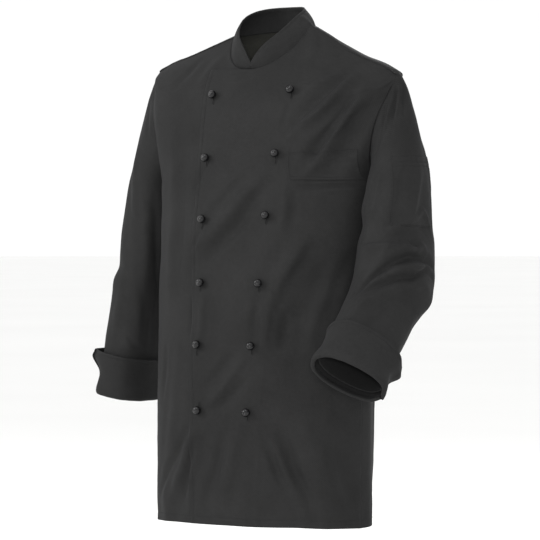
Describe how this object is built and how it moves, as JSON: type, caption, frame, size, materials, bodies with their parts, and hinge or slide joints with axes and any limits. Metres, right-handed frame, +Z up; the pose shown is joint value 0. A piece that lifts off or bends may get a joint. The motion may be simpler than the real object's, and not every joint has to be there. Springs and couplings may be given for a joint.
{
  "type": "chef jacket",
  "caption": "Double-breasted chef jacket with stand collar, turned-back cuffs, ball studs and pockets, filled out as worn with nobody in it.",
  "frame": {"origin": "midway between the neck ends of the two shoulder seams, where the wearer's shoulders carry the jacket", "axes": "+Z up, the wearer faces -Y, and the wearer's left is +X"},
  "size_m": [0.6481, 0.3407, 0.84],
  "materials": {
    "twill": "fine black polyester-cotton twill with a soft sheen",
    "stud": "glossy black moulded ball studs"
  },
  "bodies": {
    "root": {"left_front": "twill", "right_front": "twill", "back": "twill", "collar": "twill", "left_sleeve": "twill", "right_sleeve": "twill", "left_cuff": "twill", "right_cuff": "twill", "chest_pocket_band": "twill", "pen_pocket": "twill", "button_left_1": "stud", "button_left_2": "stud", "button_left_3": "stud", "button_left_4": "stud", "button_left_5": "stud", "button_left_6": "stud", "button_right_1": "stud", "button_right_2": "stud", "button_right_3": "stud", "button_right_4": "stud", "button_right_5": "stud", "button_right_6": "stud"}
  },
  "joints": []
}
